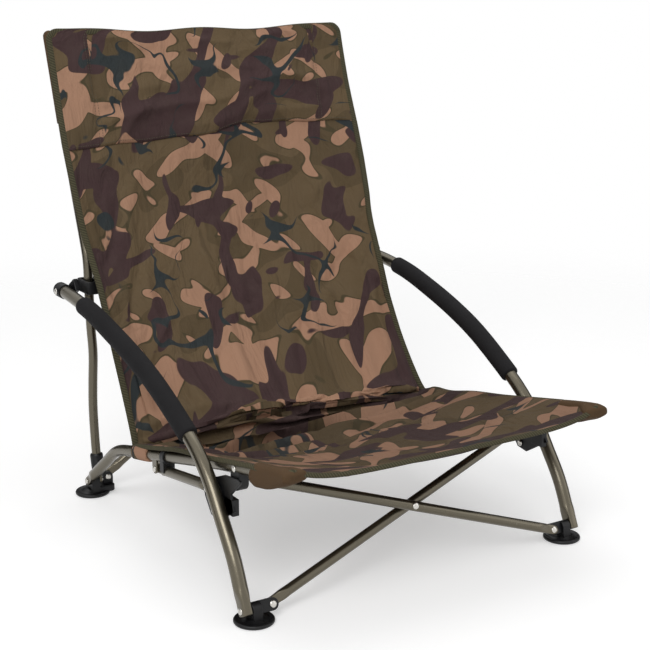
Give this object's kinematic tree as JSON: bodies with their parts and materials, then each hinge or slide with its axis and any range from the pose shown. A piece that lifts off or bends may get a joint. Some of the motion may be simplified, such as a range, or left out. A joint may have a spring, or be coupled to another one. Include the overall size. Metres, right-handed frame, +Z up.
{
  "type": "folding fishing chair",
  "caption": "Low folding outdoor chair: a bundle-folding steel tube frame with padded arms, round feet and a slung fabric seat and high back.",
  "frame": {"origin": "on the floor, under the centre of the overall bounding box", "axes": "+Z up; the chair faces -Y; +X is to the right of a viewer who stands in front and looks along +Y"},
  "size_m": [0.671, 0.828, 0.8137],
  "materials": {
    "tube": "metallic bronze coat",
    "rivet": "plain",
    "plastic": "moulded black",
    "foam": "closed-cell foam",
    "camouflage": "woven, woodland print",
    "pocket": "woven, plain brown"
  },
  "bodies": {
    "leg_left": {"leg_arm_tube_left": "tube", "arm_foam_grip_left": "foam", "arm_end_plug_left": "plastic", "leg_bracket_left": "plastic", "bracket_pivot_rivet_left": "rivet", "bracket_low_rivet_left": "rivet", "arm_end_rivet_left": "rivet"},
    "slider_left": {"arm_slider_left": "plastic"},
    "upright_left": {"back_upright_tube_left": "tube", "top_pocket_left": "camouflage"},
    "back_sling": {"back_panel": "camouflage", "headrest_layer": "camouflage"},
    "rear_foot_body_left": {"rear_foot_left": "plastic", "rear_frame_rivet_left": "rivet", "rear_lug_rivet_left": "rivet"},
    "rear_cross_left": {"rear_cross_tube_left": "tube", "rear_cross_rivet": "rivet"},
    "rail_left": {"side_rail_tube_left": "tube", "seat_hub_left": "plastic", "rail_rivet_left": "rivet", "rail_clip_left": "plastic", "link_lug_left": "tube", "lug_rivet_left": "rivet", "corner_pocket_left": "pocket", "crease_tab_left": "camouflage", "seat_panel": "camouflage"},
    "link_left": {"fold_link_left": "tube"},
    "front_foot_body_left": {"front_foot_left": "plastic", "front_leg_rivet_left": "rivet", "front_lug_rivet_left": "rivet"},
    "front_cross_left": {"front_cross_tube_left": "tube", "front_cross_rivet": "rivet"},
    "leg_right": {"leg_arm_tube_right": "tube", "arm_foam_grip_right": "foam", "arm_end_plug_right": "plastic", "leg_bracket_right": "plastic", "bracket_pivot_rivet_right": "rivet", "bracket_low_rivet_right": "rivet", "arm_end_rivet_right": "rivet"},
    "slider_right": {"arm_slider_right": "plastic"},
    "upright_right": {"back_upright_tube_right": "tube", "top_pocket_right": "camouflage"},
    "rear_foot_body_right": {"rear_foot_right": "plastic", "rear_frame_rivet_right": "rivet", "rear_lug_rivet_right": "rivet"},
    "rear_cross_right": {"rear_cross_tube_right": "tube"},
    "rail_right": {"side_rail_tube_right": "tube", "seat_hub_right": "plastic", "rail_rivet_right": "rivet", "rail_clip_right": "plastic", "link_lug_right": "tube", "lug_rivet_right": "rivet", "corner_pocket_right": "pocket", "crease_tab_right": "camouflage"},
    "link_right": {"fold_link_right": "tube"},
    "front_foot_body_right": {"front_foot_right": "plastic", "front_leg_rivet_right": "rivet", "front_lug_rivet_right": "rivet"},
    "front_cross_right": {"front_cross_tube_right": "tube"}
  },
  "joints": [
    {"name": "front_scissor", "type": "hinge", "parent": "front_cross_left", "child": "front_cross_right", "pos_m": [0, -0.2918, 0.109], "axis": [0, 0.9503, -0.3113], "range_deg": [0, 107.1]},
    {"name": "front_foot_pivot_left", "type": "hinge", "parent": "leg_left", "child": "front_foot_body_left", "pos_m": [-0.306, -0.3203, 0.022], "axis": [-1, 0, 0], "range_deg": [0, 21.73]},
    {"name": "front_cross_pivot_left", "type": "hinge", "parent": "front_foot_body_left", "child": "front_cross_left", "pos_m": [-0.262, -0.3203, 0.022], "axis": [0, -0.9503, 0.3113], "range_deg": [0, 53.56]},
    {"name": "front_cross_pivot_right", "type": "hinge", "parent": "front_cross_right", "child": "front_foot_body_right", "pos_m": [0.262, -0.3203, 0.022], "axis": [0, -0.9503, 0.3113], "range_deg": [0, 53.56]},
    {"name": "front_foot_pivot_right", "type": "hinge", "parent": "front_foot_body_right", "child": "leg_right", "pos_m": [0.306, -0.3203, 0.022], "axis": [1, 0, 0], "range_deg": [0, 21.73]},
    {"name": "arm_end_pivot_left", "type": "hinge", "parent": "leg_left", "child": "slider_left", "pos_m": [-0.32, 0.3047, 0.372], "axis": [-1, 0, 0], "range_deg": [0, 23.53]},
    {"name": "upright_slide_left", "type": "slide", "parent": "slider_left", "child": "upright_left", "axis": [0, -0.2873, -0.9578], "range_m": [0, 0.2624]},
    {"name": "rear_foot_pivot_left", "type": "hinge", "parent": "upright_left", "child": "rear_foot_body_left", "pos_m": [-0.29, 0.2747, 0.027], "axis": [-1, 0, 0], "range_deg": [0, 7.53]},
    {"name": "rear_cross_pivot_left", "type": "hinge", "parent": "rear_foot_body_left", "child": "rear_cross_left", "pos_m": [-0.262, 0.2877, 0.02725], "axis": [0, -0.9998, -0.0195], "range_deg": [0, 40.69]},
    {"name": "rail_pivot_left", "type": "hinge", "parent": "upright_left", "child": "rail_left", "pos_m": [-0.29, 0.2747, 0.027], "axis": [-1, 0, 0], "range_deg": [0, 54.08], "deforming": ["seat_panel"]},
    {"name": "link_pivot_left", "type": "hinge", "parent": "leg_left", "child": "link_left", "pos_m": [-0.283, -0.1823, 0.16], "axis": [1, 0, 0], "range_deg": [0, 4.48]},
    {"name": "arm_end_pivot_right", "type": "hinge", "parent": "leg_right", "child": "slider_right", "pos_m": [0.32, 0.3047, 0.372], "axis": [-1, 0, 0], "range_deg": [0, 23.53]},
    {"name": "upright_slide_right", "type": "slide", "parent": "slider_right", "child": "upright_right", "axis": [0, -0.2873, -0.9578], "range_m": [0, 0.2624]},
    {"name": "rear_foot_pivot_right", "type": "hinge", "parent": "upright_right", "child": "rear_foot_body_right", "pos_m": [0.29, 0.2747, 0.027], "axis": [-1, 0, 0], "range_deg": [0, 7.53]},
    {"name": "rear_cross_pivot_right", "type": "hinge", "parent": "rear_foot_body_right", "child": "rear_cross_right", "pos_m": [0.262, 0.30519, 0.0276], "axis": [0, 0.9998, 0.0195], "range_deg": [0, 40.69]},
    {"name": "rail_pivot_right", "type": "hinge", "parent": "upright_right", "child": "rail_right", "pos_m": [0.29, 0.2747, 0.027], "axis": [-1, 0, 0], "range_deg": [0, 54.08]},
    {"name": "link_pivot_right", "type": "hinge", "parent": "leg_right", "child": "link_right", "pos_m": [0.283, -0.1823, 0.16], "axis": [1, 0, 0], "range_deg": [0, 4.48]},
    {"name": "back_sling_swing", "type": "hinge", "parent": "upright_left", "child": "back_sling", "pos_m": [0, 0.3877, 0.812], "axis": [1, 0, 0], "range_deg": [0, 9.01], "deforming": ["back_panel", "headrest_layer"]}
  ],
  "couplings": [
    {"joint": "front_foot_pivot_left", "follows": "front_scissor", "ratio": 0.2028},
    {"joint": "front_cross_pivot_left", "follows": "front_scissor", "ratio": 0.5},
    {"joint": "front_cross_pivot_right", "follows": "front_scissor", "ratio": 0.5},
    {"joint": "front_foot_pivot_right", "follows": "front_scissor", "ratio": 0.2028},
    {"joint": "arm_end_pivot_left", "follows": "front_scissor", "ratio": 0.21961},
    {"joint": "upright_slide_left", "follows": "front_scissor", "m_per_rad": 0.14032},
    {"joint": "rear_foot_pivot_left", "follows": "front_scissor", "ratio": 0.070215},
    {"joint": "rear_cross_pivot_left", "follows": "front_scissor", "ratio": 0.37983},
    {"joint": "rail_pivot_left", "follows": "front_scissor", "ratio": 0.50486},
    {"joint": "link_pivot_left", "follows": "front_scissor", "ratio": 0.041737},
    {"joint": "arm_end_pivot_right", "follows": "front_scissor", "ratio": 0.21961},
    {"joint": "upright_slide_right", "follows": "front_scissor", "m_per_rad": 0.14032},
    {"joint": "rear_foot_pivot_right", "follows": "front_scissor", "ratio": 0.070215},
    {"joint": "rear_cross_pivot_right", "follows": "front_scissor", "ratio": 0.37983},
    {"joint": "rail_pivot_right", "follows": "front_scissor", "ratio": 0.50486},
    {"joint": "link_pivot_right", "follows": "front_scissor", "ratio": 0.041737},
    {"joint": "back_sling_swing", "follows": "front_scissor", "ratio": 0.084034}
  ]
}
